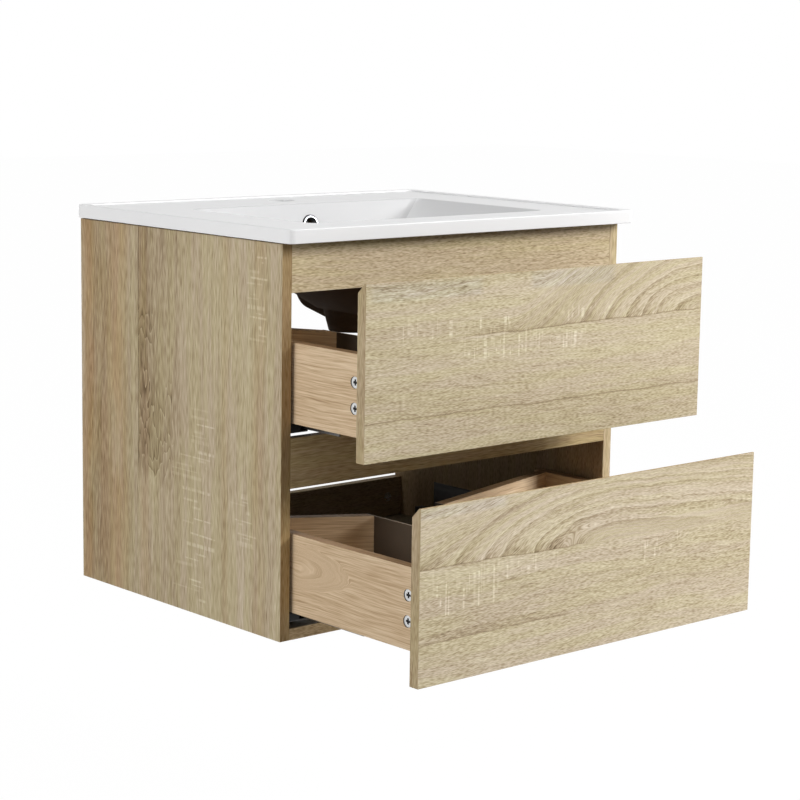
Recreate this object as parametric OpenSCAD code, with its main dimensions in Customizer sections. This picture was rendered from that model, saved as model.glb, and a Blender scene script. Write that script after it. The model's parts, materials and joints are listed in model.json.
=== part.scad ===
// Wall-hung bathroom vanity: laminate carcass, inset ceramic basin and two
// full-extension drawers on nested undermount runners.
// Millimetres. X runs across, -Y points out of the wall and Z points up.
// The origin lies on the wall face, midway between the two wall bolts.

/* [Carcass] */
// Outside width of the carcass
carcass_w = 596; // [540:1:660]
// Depth of the carcass from its front edges to the wall
carcass_d = 445; // [435:1:480]
// Height of the carcass under the basin
carcass_h = 504; // [490:1:540]
// Thickness of the carcass boards
board = 15; // [13:0.5:18]
// How far the apron laps down behind the upper front
apron_lap = 27; // [15:1:40]
// Height of the rail between the drawers
mid_rail_h = 64; // [50:1:70]
// How far the mid rail laps down behind the lower front
mid_rail_lap = 21; // [10:1:30]
// Height of the low rail at the back
low_rail_h = 60; // [40:1:80]
// Height of the hanging rail at the top of the back
hang_rail_h = 80; // [60:1:100]
// Distance between the two wall bolts
bolt_spacing = 400; // [300:1:450]
// Diameter of the wall bolt holes
bolt_hole_d = 10; // [8:0.5:12]

/* [Fronts] */
// Gap for the fingers above each front
finger_gap = 36; // [25:1:45]
// Thickness of the drawer fronts
front_t = 15; // [13:0.5:18]
// Gap between a closed front and the carcass
front_gap = 2; // [1:0.5:4]
// Size of the bevel along a front's back top edge
front_bevel = 12; // [6:1:12]

/* [Drawer boxes] */
// Height of the drawer sides
side_h = 102; // [90:1:110]
// Thickness of the drawer sides and rear boards
side_t = 15; // [12:0.5:16]
// Length of the drawer sides
side_len = 362; // [355:1:375]
// Gap between a drawer side and the carcass panel
side_gap = 5; // [4:0.5:8]
// Thickness of the drawer bottoms
bottom_t = 8; // [6:0.5:10]
// Height of a drawer bottom over the lower edge of its sides
bottom_up = 13; // [12.5:0.5:16]
// Depth of the groove that holds a drawer bottom
groove_d = 5; // [3:0.5:8]
// Height of the upper sides over the lower edge of the upper front
upper_side_up = 25; // [24:1:32]
// Height of the lower sides over the lower edge of the lower front
lower_side_up = 35; // [30:1:45]
// How far the upper drawer stands open
upper_open = 141.2; // [0:0.1:350]
// How far the lower drawer stands open
lower_open = 243.4; // [0:0.1:350]

/* [Pipe pockets] */
// Thickness of the pipe guards
guard_t = 3; // [2:0.5:5]
// Inside radius of a pipe guard's corners
guard_r = 18; // [8:1:30]
// Outside width of the upper pipe guard
upper_guard_w = 344; // [300:1:380]
// Front of the upper pipe guard behind the closed front
upper_guard_y = 58; // [40:1:62]
// Distance from a side's rear end to where an upper rear board meets it
upper_set_back = 15; // [12:1:25]
// Angle of the upper rear boards
upper_angle = 60; // [50:1:62]
// Left outside face of the lower pipe guard, left of the middle
lower_guard_left = 128; // [100:1:150]
// Right outside face of the lower pipe guard, left of the middle
lower_guard_right = 5; // [0:1:30]
// Front of the lower pipe guard behind the closed front
lower_guard_y = 142; // [100:1:180]
// Distance from the side's rear end to where the lower left rear board meets it
lower_left_set_back = 17; // [12:1:25]
// Angle of the lower left rear board
lower_left_angle = 31; // [25:1:35]
// Distance from the side's rear end to where the lower right rear board meets it
lower_right_set_back = 24; // [15:1:32]
// Angle of the lower right rear board
lower_right_angle = 15.5; // [12:0.5:18]

/* [Basin] */
// How far the basin laps over each side of the carcass
basin_side_lap = 7; // [4:1:10]
// How far the basin laps over the front of the carcass
basin_front_lap = 25; // [20:1:35]
// Height of the basin's edge
basin_edge = 18; // [16:1:24]
// Corner radius of the basin in plan
basin_corner_r = 9; // [4:1:20]
// Width of the raised rim round the deck
rim_w = 12; // [6:1:20]
// Depth of the deck below the rim
deck_drop = 2; // [1:0.5:3]
// Width of the bowl's mouth
bowl_w = 414; // [380:1:440]
// Length of the bowl's mouth from front to back
bowl_d = 265; // [240:1:275]
// Solid deck in front of the bowl
bowl_front_deck = 79; // [70:1:90]
// Depth of the bowl's flat floor below the deck
bowl_depth = 128; // [122:1:134]
// Corner radius of the bowl's mouth
mouth_r = 14; // [10:1:24]
// Lean of the bowl's end walls at the mouth
end_lean = 40.5; // [38:0.5:42]
// Width of the bowl's flat floor
floor_w = 78; // [70:1:90]
// Lean of the bowl's back wall
wall_lean = 12; // [8:0.5:15]
// Radius of the bend between the bowl's back wall and its floor
wall_bend_r = 75; // [60:1:80]
// Thickness of the ceramic
ceramic_t = 11; // [9:0.5:13]
// Diameter of the tap hole
tap_hole_d = 35; // [30:1:38]
// Distance of the tap hole behind the bowl
tap_back = 60; // [50:1:68]
// Diameter of the waste hole
waste_hole_d = 45; // [42:1:48]
// Distance of the waste hole behind the bowl's front edge
waste_back = 164; // [140:1:170]
// Depth of the waste boss below the bowl's floor
boss_h = 41.5; // [36:0.5:44]
// Diameter of the overflow ring
ring_d = 29; // [26:0.5:32]
// Height of the overflow's middle below the deck
overflow_drop = 30; // [26:1:40]

/* [Runners] */
// Length of the fixed runner members
runner_len = 350; // [330:1:355]
// Thickness of the runner steel
steel_t = 1.2; // [1:0.1:1.5]
// Clearance between one runner member and the next
slide_gap = 0.5; // [0.4:0.1:0.7]
// Width of the drawer members
slide_w = 24; // [22:0.5:30]
// Height of the flange that is screwed to the panel
flange_h = 44; // [36:1:50]
// Depth of the fixed members below the drawer sides
runner_drop = 12; // [10:0.5:12]
// Depth of the middle members below the drawer sides
middle_drop = 8.5; // [6:0.5:9]

/* [Fasteners] */
// Diameter of the cam locks
cam_d = 15; // [12:0.5:16]
// Depth of the cam locks
cam_depth = 11; // [9:0.5:11.5]
// Distance of a cam lock's middle from the joint
cam_back = 27.5; // [24:0.5:34]
// Spacing of the cam locks in a drawer side
cam_spacing = 32; // [32:1:48]
// Diameter of the cam bolts
cam_bolt_d = 6; // [5:0.5:7]
// Depth of the cam bolts in the board that they screw into
cam_bolt_in = 10; // [8:0.5:11]
// Diameter of the screws
screw_d = 5; // [3.5:0.5:6]
// Depth of the screws in the boards
screw_in = 10; // [8:0.5:11]

/* [Hidden] */
$fn = 40;
tiny = 0.01;
drill_gap = 0.1;
inner_half = carcass_w / 2 - board;

// The carcass is drawn with Y from its front plane and Z from its underside.
bolt_z = carcass_h - hang_rail_h / 2;
front_h = carcass_h / 2 - finger_gap;
upper_front_z = front_h + finger_gap;
upper_z = upper_front_z + upper_side_up;
lower_z = lower_side_up;
mid_rail_z = front_h - mid_rail_lap;
apron_h = finger_gap + apron_lap;
back_y = carcass_d - board;

// A drawer is drawn shut.
front_back = -front_gap;
side_out = inner_half - side_gap;
side_in = side_out - side_t;
side_end = front_back + side_len;
guard_top = side_h - bottom_up;
upper_reach = side_len - upper_set_back;
lower_left_reach = side_len - lower_left_set_back;
lower_right_reach = side_len - lower_right_set_back;

// Basin levels and bowl lines
basin_w = carcass_w + 2 * basin_side_lap;
basin_top = carcass_h + basin_edge;
deck_z = basin_top - deck_drop;
floor_z = deck_z - bowl_depth;
boss_z = floor_z - boss_h;
boss_r = waste_hole_d / 2 + ceramic_t;
boss_draft = 10;
bowl_y = bowl_front_deck - basin_front_lap;
bowl_back = bowl_y + bowl_d;
waste_y = bowl_y + waste_back;
tap_y = bowl_back + tap_back;
bowl_dish = 12;
round_from = 30;
round_to = 80;
ring_steps = 8;
bowl_steps = 16;
waste_seat_r = waste_hole_d / 2 + 9;
waste_seat_h = 3;
duct_w = 28;
duct_deep = 11;
duct_wall = 6;
duct_bend_r = 35;
duct_rise = 12.5;
duct_drop = 28;
duct_up = 8;
ring_t = 2.2;
ring_sleeve = 8;
ring_wall = 2.4;
ring_hole_d = ring_d - 2 * ring_wall;

// Runner places across and along the drawer
runner_mid = side_in - slide_gap - slide_w / 2;
fixed_y = 2.5;
middle_y = 5;
slide_y = 1.5;
slide_len = runner_len - slide_y;
middle_len = runner_len - middle_y;
end_block_w = 18;
end_block_len = 12;
runner_hole_y = 37;
runner_hole_step = 128;
runner_holes = [for (i = [0:2]) runner_hole_y + i * runner_hole_step];

// Hanger angles
hanger_t = 2;
hanger_h = 56;
hanger_leg = 46;
hanger_edge = 12;

// ---------- helpers ----------

module place() {
  translate([0, -carcass_d, -bolt_z]) children();
}

module upper_at(share = 1) {
  place() translate([0, -upper_open * share, 0]) children();
}

module lower_at(share = 1) {
  place() translate([0, -lower_open * share, 0]) children();
}

module both() {
  children();
  mirror([1, 0, 0]) children();
}

// Extrudes an outline drawn in X and Z along +Y, from y
module along_y(y, length) {
  translate([0, y + length, 0]) rotate([90, 0, 0]) linear_extrude(length) children();
}

// Extrudes an outline drawn in Y and Z along X, centred
module along_x(length) {
  rotate([90, 0, 90]) linear_extrude(length, center = true) children();
}

// A rod from a point along +X, +Y or +Z
module rod_x(at, d, length) {
  translate(at) rotate([0, 90, 0]) cylinder(d = d, h = length);
}

module rod_y(at, d, length) {
  translate(at) rotate([-90, 0, 0]) cylinder(d = d, h = length);
}

module rod_z(at, d, length) {
  translate(at) cylinder(d = d, h = length);
}

module rounded(size, r) {
  translate([r, 0]) square([size[0] - 2 * r, size[1]]);
  translate([0, r]) square([size[0], size[1] - 2 * r]);
  for (x = [r, size[0] - r], y = [r, size[1] - r]) translate([x, y]) circle(r);
}

// Points of a round corner of radius r at b, between a and c
function unit(v) = v / norm(v);
function bend(a, b, c, r, steps = 6) =
  let (
    u = unit(a - b),
    v = unit(c - b),
    half = acos(u * v) / 2,
    middle = b + unit(u + v) * r / sin(half),
    start = b + u * r / tan(half) - middle,
    finish = b + v * r / tan(half) - middle,
    turn = 180 - 2 * half,
    way = sign(start[0] * finish[1] - start[1] * finish[0])
  )
  [for (i = [0:steps]) let (t = way * turn * i / steps)
    middle + [start[0] * cos(t) - start[1] * sin(t), start[0] * sin(t) + start[1] * cos(t)]];

// ---------- fasteners ----------

// A cam lock with its cross slot, its open face at z = 0 and its bolt's middle at z = -deep.
// The bolt comes in along -X, after a turn about Z.
module cam(deep, turn = 0) {
  slot = cam_d * 0.5;
  slot_w = 2;
  slot_h = 2;
  core_r = cam_d * 0.15;
  way_w = cam_bolt_d + 4 * drill_gap;
  difference() {
    translate([0, 0, -cam_depth]) cylinder(d = cam_d - 2 * drill_gap, h = cam_depth);
    for (a = [0, 90]) rotate([0, 0, a])
      translate([-slot / 2, -slot_w / 2, -slot_h]) cube([slot, slot_w, slot_h + 1]);
    // The crescent where the cam grips the bolt's head
    translate([0, 0, -cam_depth - 1]) difference() {
      cylinder(d = cam_d * 0.62, h = cam_depth - slot_h - 1);
      cylinder(r = core_r, h = cam_depth - slot_h - 1);
    }
    // The bolt's way in
    rotate([0, 0, turn]) translate([-cam_d, -way_w / 2, -cam_depth - 1])
      cube([cam_d - core_r, way_w, cam_depth + 1 - deep + way_w / 2]);
  }
}

module cam_hole() {
  translate([0, 0, -cam_depth]) cylinder(d = cam_d, h = cam_depth + 1);
}

// A cam bolt along +Z from its tip; the joint lies at z = cam_bolt_in
module cam_bolt() {
  length = cam_bolt_in + cam_back - cam_d * 0.2;
  neck = 4;
  cylinder(d = cam_bolt_d, h = length - neck);
  translate([0, 0, length - neck]) cylinder(d = cam_bolt_d - 2, h = neck);
  collar_t = 1;
  translate([0, 0, cam_bolt_in]) cylinder(d = cam_bolt_d, h = collar_t);
}

module cam_bolt_hole(extra = 0) {
  translate([0, 0, -drill_gap]) cylinder(d = cam_bolt_d + 2 * drill_gap, h = cam_bolt_in + cam_back + extra);
}

// A pan-head screw along +Z; its head rests on z = 0 and its tip points down
module screw(into) {
  head_d = screw_d * 1.8;
  head_h = screw_d * 0.4;
  recess = screw_d * 0.9;
  difference() {
    union() {
      cylinder(d = head_d, h = head_h);
      translate([0, 0, -into]) cylinder(d = screw_d, h = into + tiny);
    }
    for (turn = [0, 90]) rotate([0, 0, turn])
      translate([-recess / 2, -0.5, head_h / 2]) cube([recess, 1, head_h]);
  }
}

module screw_hole(into) {
  translate([0, 0, -into - drill_gap]) cylinder(d = screw_d + 2 * drill_gap, h = into + steel_t + 6);
}

// ---------- places of the carcass fasteners ----------

// Boards held by cams: [Y, Z of the bolt, turn of the cam's face]
// turn 0 faces the cam to the back, 180 to the front, 90 down
board_mid = board / 2;
cam_row = [
  [board_mid, carcass_h - apron_h * 0.3, 0],
  [board_mid, carcass_h - apron_h * 0.75, 0],
  [board_mid, mid_rail_z + mid_rail_h * 0.25, 0],
  [board_mid, mid_rail_z + mid_rail_h * 0.75, 0],
  [back_y + board_mid, carcass_h - hang_rail_h * 0.5, 180],
  [back_y + board_mid, board + low_rail_h * 0.5, 180],
  [carcass_d * 0.12, board_mid, 90],
  [carcass_d * 0.5, board_mid, 90],
  [carcass_d * 0.86, board_mid, 90]
];

// Puts the cams' children at the open mouth of each cam hole
module at_carcass_cams() {
  both() for (c = cam_row) {
    x = -inner_half + cam_back;
    if (c[2] == 0) translate([x, c[0] + board_mid, c[1]]) rotate([-90, 0, 0]) children();
    if (c[2] == 180) translate([x, c[0] - board_mid, c[1]]) rotate([90, 0, 0]) children();
    if (c[2] == 90) translate([x, c[0], c[1] - board_mid]) rotate([180, 0, 0]) children();
  }
}

// Puts the bolts' children at each bolt's tip in the side panel
module at_carcass_bolts() {
  both() for (c = cam_row)
    translate([-inner_half - cam_bolt_in, c[0], c[1]]) rotate([0, 90, 0]) children();
}

// Runner screws: their heads rest on the flange
module at_runner_screws() {
  both() for (z = [upper_z, lower_z], y = runner_holes)
    translate([-inner_half + steel_t, y, z + flange_h * 0.5]) rotate([0, 90, 0]) children();
}

// Hanger screws on the panel leg and on the rail leg
module at_hanger_screws() {
  both() for (dz = [-1, 1]) {
    z = bolt_z + dz * (hanger_h / 2 - hanger_edge);
    translate([-inner_half + hanger_t, back_y - hanger_leg + hanger_edge, z]) rotate([0, 90, 0]) children();
    translate([-inner_half + hanger_leg - hanger_edge, back_y - hanger_t, z]) rotate([90, 0, 0]) children();
  }
}

// ---------- carcass ----------

module side_panel() {
  difference() {
    translate([-carcass_w / 2, 0, 0]) cube([board, carcass_d, carcass_h]);
    at_carcass_bolts() cam_bolt_hole();
    at_runner_screws() screw_hole(screw_in);
    at_hanger_screws() screw_hole(screw_in);
  }
}

module side_panel_left() {
  color("BurlyWood") place() side_panel();
}

module side_panel_right() {
  color("BurlyWood") place() mirror([1, 0, 0]) side_panel();
}

// A board between the side panels, from y and z, with its cams' holes
module cross_board(y, z, depth, height) {
  difference() {
    translate([-inner_half, y, z]) cube([2 * inner_half, depth, height]);
    at_carcass_cams() cam_hole();
    at_carcass_bolts() cam_bolt_hole();
  }
}

module bottom_panel() {
  color("Tan") place() cross_board(0, 0, carcass_d, board);
}

module front_apron() {
  color("Wheat") place() cross_board(0, carcass_h - apron_h, board, apron_h);
}

module mid_rail() {
  color("Wheat") place() cross_board(0, mid_rail_z, board, mid_rail_h);
}

module rear_top_rail() {
  color("Tan") place() difference() {
    cross_board(back_y, carcass_h - hang_rail_h, board, hang_rail_h);
    for (x = [-1, 1] * bolt_spacing / 2) rod_y([x, back_y - 1, bolt_z], bolt_hole_d, board + 2);
    at_hanger_screws() screw_hole(screw_in);
  }
}

module rear_bottom_rail() {
  color("Tan") place() cross_board(back_y, board, board, low_rail_h);
}

// ---------- basin ----------

// The bowl is a loft from its rectangular mouth to a rounded floor.
// out is 0 for its inside and the wall outside; deep is measured down from the deck.
end_run = (bowl_w - floor_w) / 2;
end_r = (end_run * end_run + bowl_depth * bowl_depth)
  / (2 * (end_run * cos(end_lean) - bowl_depth * sin(end_lean)));
function end_reach(out, deep) =
  let (cx = bowl_w / 2 - end_r * cos(end_lean), cd = -end_r * sin(end_lean))
  cx + sqrt(pow(end_r + out, 2) - pow(deep - cd, 2));

back_half = bowl_d - waste_back;
function wall_reach(out, deep) =
  let (
    r = wall_bend_r + out,
    cd = bowl_depth + bowl_dish - wall_bend_r,
    cx = back_half - (wall_bend_r + cd * sin(wall_lean)) / cos(wall_lean)
  )
  deep < cd + r * sin(wall_lean)
    ? back_half + out / cos(wall_lean) - deep * tan(wall_lean)
    : cx + sqrt(r * r - pow(deep - cd, 2));

// One level of the loft: a rounded rectangle whose corners grow with the depth
function bowl_ring(out, deep, z) =
  let (
    x = end_reach(out, deep),
    back = wall_reach(out, deep),
    front = back * (waste_back + out) / (back_half + out),
    most = min(x, back) - 1.5,
    grown = max(0, min(1, (deep - out - round_from) / (round_to - round_from))),
    r = min(most, mouth_r + out + (most - mouth_r - out) * grown)
  )
  [for (q = [0:3], i = [0:ring_steps]) let (
    a = q * 90 + i * 90 / ring_steps,
    side = q == 0 || q == 3 ? x - r : r - x,
    end = q < 2 ? back - r : r - front
  ) [side + r * cos(a), end + r * sin(a), z]];

// A closed skin over rings of equal counts, lowest first
module skin(rings) {
  n = len(rings[0]);
  top = (len(rings) - 1) * n;
  sides = [for (k = [0:len(rings) - 2], i = [0:n - 1]) let (a = k * n + i, b = k * n + (i + 1) % n)
    each [[a, a + n, b], [b, a + n, b + n]]];
  polyhedron(
    [for (ring = rings) each ring],
    concat([[for (i = [0:n - 1]) i]], sides, [[for (i = [n - 1:-1:0]) top + i]])
  );
}

module bowl(out, top) {
  from = deck_z - min(top, deck_z);
  to = bowl_depth + out;
  levels = [for (i = [0:bowl_steps]) let (t = 1 - i / bowl_steps) to + (from - to) * (1 - sin(90 * t))];
  translate([0, waste_y, 0]) skin(concat(
    [for (deep = levels) bowl_ring(out, deep, deck_z - deep)],
    top > deck_z ? [bowl_ring(out, 0, top)] : []
  ));
}

// The back wall's line, out from the bowl's inside
function wall_y(out, z) = bowl_back + out / cos(wall_lean) - (deck_z - z) * tan(wall_lean);

// The overflow's duct, down the back of the bowl and forward to the waste
function duct_line(back, up) =
  let (
    low = boss_z + duct_up + up,
    reach = wall_y(ceramic_t, boss_z + duct_drop) + back - waste_y,
    knee_z = low + reach * tan(duct_rise),
    knee = [wall_y(ceramic_t, knee_z) + back, knee_z],
    start = [wall_y(ceramic_t, carcass_h) + back, carcass_h]
  )
  concat([start], bend(start, knee, [waste_y, low], duct_bend_r - up), [[waste_y, low]]);

module overflow_duct() {
  along_x(duct_w + 2 * duct_wall) polygon(concat(
    duct_line(duct_deep + duct_wall, 0),
    [[waste_y, deck_z - bowl_depth], [bowl_back - wall_bend_r, carcass_h]]
  ));
}

module overflow_passage() {
  top = carcass_h + 4;
  difference() {
    along_x(duct_w) polygon(concat(
      [[wall_y(ceramic_t, top) + duct_deep, top]],
      duct_line(duct_deep, duct_wall),
      [[waste_y, deck_z - bowl_depth], [wall_y(0, top), top]]
    ));
    bowl(ceramic_t, deck_z + 2);
  }
}

overflow_z = deck_z - overflow_drop;
overflow_y = wall_y(0, overflow_z);

// Lays its children on the bowl's back wall, +Z pointing into the bowl
module at_overflow() {
  translate([0, overflow_y, overflow_z]) rotate([90 - wall_lean, 0, 0]) children();
}

module ceramic_basin() {
  color("White") place() difference() {
    union() {
      translate([-basin_w / 2, -basin_front_lap, carcass_h])
        linear_extrude(basin_edge) rounded([basin_w, carcass_d + basin_front_lap], basin_corner_r);
      bowl(ceramic_t, carcass_h + tiny);
      overflow_duct();
      translate([0, waste_y, boss_z]) cylinder(r1 = boss_r, r2 = boss_r + boss_draft, h = boss_h - waste_seat_h - 2);
    }
    translate([-basin_w / 2 + rim_w, -basin_front_lap + rim_w, deck_z]) linear_extrude(deck_drop + 1)
      rounded([basin_w - 2 * rim_w, carcass_d + basin_front_lap - 2 * rim_w], basin_corner_r);
    bowl(0, deck_z + 1);
    overflow_passage();
    translate([0, tap_y, carcass_h - 1]) cylinder(d = tap_hole_d, h = basin_edge + 2);
    translate([0, waste_y, boss_z - 1]) cylinder(d = waste_hole_d, h = boss_h + 60);
    translate([0, waste_y, floor_z - waste_seat_h]) cylinder(r = waste_seat_r, h = 30);
    at_overflow() translate([0, 0, -ceramic_t - duct_deep / 2]) cylinder(d = ring_hole_d, h = 40);
  }
}

module overflow_ring() {
  bore_d = ring_hole_d - 2 * ring_wall / 2;
  color("Silver") place() at_overflow() rotate_extrude() {
    translate([bore_d / 2, -ring_sleeve]) square([ring_wall / 2 - drill_gap, ring_sleeve + ring_t]);
    translate([bore_d / 2, 0]) square([(ring_d - bore_d) / 2 - ring_t / 2, ring_t]);
    intersection() {
      translate([ring_d / 2 - ring_t, 0]) circle(ring_t);
      translate([ring_d / 2 - ring_t, 0]) square([ring_t, ring_t]);
    }
  }
}

// ---------- hangers ----------

module hanger() {
  difference() {
    translate([-inner_half, 0, bolt_z - hanger_h / 2]) union() {
      translate([0, back_y - hanger_leg, 0]) cube([hanger_t, hanger_leg, hanger_h]);
      translate([0, back_y - hanger_t, 0]) cube([hanger_leg, hanger_t, hanger_h]);
    }
    at_hanger_screws() screw_hole(screw_in);
  }
}

module hanger_left() {
  color("Silver") place() hanger();
}

module hanger_right() {
  color("Silver") place() mirror([1, 0, 0]) hanger();
}

module hanger_screws() {
  color("Gray") place() at_hanger_screws() screw(screw_in);
}

module carcass_cams() {
  color("Gray") place() at_carcass_cams() cam(board_mid);
}

module carcass_bolts() {
  color("DimGray") place() at_carcass_bolts() cam_bolt();
}

// ---------- runners ----------
// Sections are drawn round the runner's middle line, Z from the drawer side's lower edge.

slide_top = bottom_up;
middle_w = slide_w - 2 * (steel_t + slide_gap);
middle_top = slide_top - steel_t - slide_gap;
step_in = steel_t + slide_gap;
slide_bottom = 1;
step_z = slide_bottom + steel_t + slide_gap;
core_w = middle_w - 2 * (steel_t + slide_gap) - 2 * step_in;
core_top = middle_top - steel_t - slide_gap;

// The drawer member: a channel open below, with lips turned in
module slide_section() {
  w = slide_w;
  h = slide_top - slide_bottom;
  translate([0, slide_bottom]) difference() {
    translate([-w / 2, 0]) square([w, h]);
    translate([-w / 2 + steel_t, steel_t]) square([w - 2 * steel_t, h - 2 * steel_t]);
    translate([-w / 2 + steel_t + step_in, -1]) square([w - 2 * (steel_t + step_in), steel_t + 2]);
  }
}

// The middle member: stepped in above the drawer member's lips, with lips of its own
module middle_section() {
  w = middle_w;
  difference() {
    union() {
      translate([-w / 2, step_z]) square([w, middle_top - step_z]);
      translate([-w / 2 + step_in, -middle_drop]) square([w - 2 * step_in, middle_top + middle_drop]);
    }
    translate([-w / 2 + steel_t, step_z + steel_t]) square([w - 2 * steel_t, middle_top - step_z - 2 * steel_t]);
    translate([-w / 2 + step_in + steel_t, -middle_drop + steel_t])
      square([w - 2 * (step_in + steel_t), middle_top + middle_drop - 2 * steel_t]);
    translate([-w / 2 + step_in + 2 * steel_t, -middle_drop - 1])
      square([w - 2 * (step_in + 2 * steel_t), steel_t + 2]);
  }
}

// The fixed member: a flange on the panel, a web under the drawer side and a core rail
module fixed_section() {
  neck_w = core_w - 4 * steel_t;
  catch_z = -middle_drop + steel_t + slide_gap;
  foot = slide_w / 2 + 2;
  wall_x = -(inner_half - runner_mid);
  difference() {
    union() {
      translate([-neck_w / 2, -runner_drop]) square([neck_w, core_top + runner_drop]);
      translate([-core_w / 2, catch_z]) square([core_w, core_top - catch_z]);
    }
    translate([-neck_w / 2 + steel_t, -runner_drop - 1])
      square([neck_w - 2 * steel_t, core_top + runner_drop + 1 - steel_t]);
    translate([-core_w / 2 + steel_t, catch_z + steel_t])
      square([core_w - 2 * steel_t, core_top - catch_z - 2 * steel_t]);
  }
  translate([wall_x, -runner_drop]) square([-wall_x - neck_w / 2 + steel_t, steel_t]);
  translate([neck_w / 2 - steel_t, -runner_drop]) square([foot - neck_w / 2 + steel_t, steel_t]);
  translate([foot - steel_t, -runner_drop]) square([steel_t, runner_drop - middle_drop]);
  translate([wall_x, -runner_drop]) square([steel_t, flange_h + runner_drop - 1]);
}

module fixed_member(z) {
  difference() {
    translate([-runner_mid, 0, z]) along_y(fixed_y, runner_len) fixed_section();
    at_runner_screws() screw_hole(screw_in);
  }
}

module middle_member(z) {
  translate([-runner_mid, 0, z]) along_y(middle_y, middle_len) middle_section();
}

module slide_member(z) {
  translate([-runner_mid, 0, z]) along_y(slide_y, slide_len) slide_section();
}

module upper_runner_left() {
  color("LightSlateGray") place() fixed_member(upper_z);
}

module upper_runner_right() {
  color("LightSlateGray") place() mirror([1, 0, 0]) fixed_member(upper_z);
}

module lower_runner_left() {
  color("LightSlateGray") place() fixed_member(lower_z);
}

module lower_runner_right() {
  color("LightSlateGray") place() mirror([1, 0, 0]) fixed_member(lower_z);
}

module runner_end_blocks() {
  color("Black") place() both() for (z = [upper_z, lower_z])
    translate([-inner_half + steel_t, fixed_y, z - runner_drop + steel_t])
      cube([end_block_w - steel_t, end_block_len, runner_drop - steel_t - 2 * slide_gap]);
}

module runner_screws() {
  color("Gray") place() at_runner_screws() screw(screw_in);
}

module upper_middle_left() {
  color("SteelBlue") upper_at(0.5) middle_member(upper_z);
}

module upper_middle_right() {
  color("SteelBlue") upper_at(0.5) mirror([1, 0, 0]) middle_member(upper_z);
}

module lower_middle_left() {
  color("SteelBlue") lower_at(0.5) middle_member(lower_z);
}

module lower_middle_right() {
  color("SteelBlue") lower_at(0.5) mirror([1, 0, 0]) middle_member(lower_z);
}

// ---------- drawers ----------

module drawer_front(z, side_z) {
  difference() {
    along_x(carcass_w) polygon([
      [front_back - front_t, z],
      [front_back, z],
      [front_back, z + front_h - front_bevel],
      [front_back - front_bevel, z + front_h],
      [front_back - front_t, z + front_h]
    ]);
    at_drawer_bolts(side_z) cam_bolt_hole();
  }
}

// Mouths of the cam holes in the outside faces of the sides
module at_drawer_cams(z) {
  both() for (dz = [-1, 1] * cam_spacing / 2)
    translate([-side_out, front_back + cam_back, z + side_h / 2 + dz]) rotate([0, -90, 0]) children();
}

// Tips of the cam bolts in the front's back face
module at_drawer_bolts(z) {
  both() for (dz = [-1, 1] * cam_spacing / 2)
    translate([-side_out + side_t / 2, front_back - cam_bolt_in, z + side_h / 2 + dz])
      rotate([-90, 0, 0]) children();
}

module drawer_side(z) {
  difference() {
    translate([-side_out, front_back, z]) cube([side_t, side_len, side_h]);
    translate([-side_in - groove_d, front_back - 1, z + bottom_up]) cube([groove_d + 1, side_len + 2, bottom_t]);
    at_drawer_cams(z) cam_hole();
    at_drawer_bolts(z) cam_bolt_hole();
  }
}

// Where a rear board's front and back faces meet the guard, for a board that leaves the
// side at reach and runs forward at an angle to the guard's outside face at gap from the middle
function board_y(reach, angle, gap, back) =
  front_back + reach - (side_in - gap) * tan(angle) + (back ? side_t / cos(angle) : 0);
function side_y(reach, angle) = min(side_end, front_back + reach + side_t / cos(angle));

// Outline of the drawer bottom, with the pocket cut out; the pocket runs from x left to x right
module bottom_outline(left, right, guard_y, left_reach, left_angle, right_reach, right_angle) {
  edge = side_in + groove_d - drill_gap;
  front = front_back + guard_y;
  ly = board_y(left_reach, left_angle, -left, true);
  ry = board_y(right_reach, right_angle, right, true);
  l_side = side_y(left_reach, left_angle);
  r_side = side_y(right_reach, right_angle);
  lx = left - (l_side - ly) / tan(left_angle);
  rx = right + (r_side - ry) / tan(right_angle);
  difference() {
    polygon([
      [-edge, front_back], [edge, front_back], [edge, r_side], [rx, r_side], [right, ry],
      [right, side_end], [left, side_end], [left, ly], [lx, l_side], [-edge, l_side]
    ]);
    pocket(left, right, front, side_end + 1 - front, guard_r + guard_t);
  }
}

// A U-shaped pocket from front, with round corners of radius r
module pocket(left, right, front, long, r) {
  w = right - left;
  translate([left, front]) {
    translate([r, 0]) square([w - 2 * r, r + tiny]);
    translate([0, r]) square([w, long - r]);
    translate([r, r]) circle(r);
    translate([w - r, r]) circle(r);
  }
}

// A rear board on the left, ending at the guard's face at gap left of the middle
module rear_board(z, reach, angle, gap) {
  y0 = front_back + reach;
  ly = board_y(reach, angle, gap, false);
  by = board_y(reach, angle, gap, true);
  s = side_y(reach, angle);
  bx = -gap - (s - by) / tan(angle);
  translate([0, 0, z + bottom_up + bottom_t]) linear_extrude(side_h - bottom_up - bottom_t)
    polygon([[-side_in, y0], [-gap, ly], [-gap, by], [bx, s], [-side_in, s]]);
}

// The pipe guard: a U of sheet round the pocket, its legs reaching the boards' back faces
module pipe_guard(z, left, right, guard_y, left_end, right_end) {
  front = front_back + guard_y;
  half = (right - left) / 2;
  long = max(left_end, right_end) - front;
  translate([0, 0, z + bottom_up]) linear_extrude(guard_top) difference() {
    pocket(left, right, front, long, guard_r + guard_t);
    pocket(left + guard_t, right - guard_t, front + guard_t, long, guard_r);
    translate([left - 1, left_end]) square([half + 1, long]);
    translate([left + half, right_end]) square([half + 1, long]);
  }
}

module drawer_cams(z) {
  at_drawer_cams(z) cam(side_t / 2, 90);
}

module drawer_bolts(z) {
  at_drawer_bolts(z) cam_bolt();
}

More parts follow.
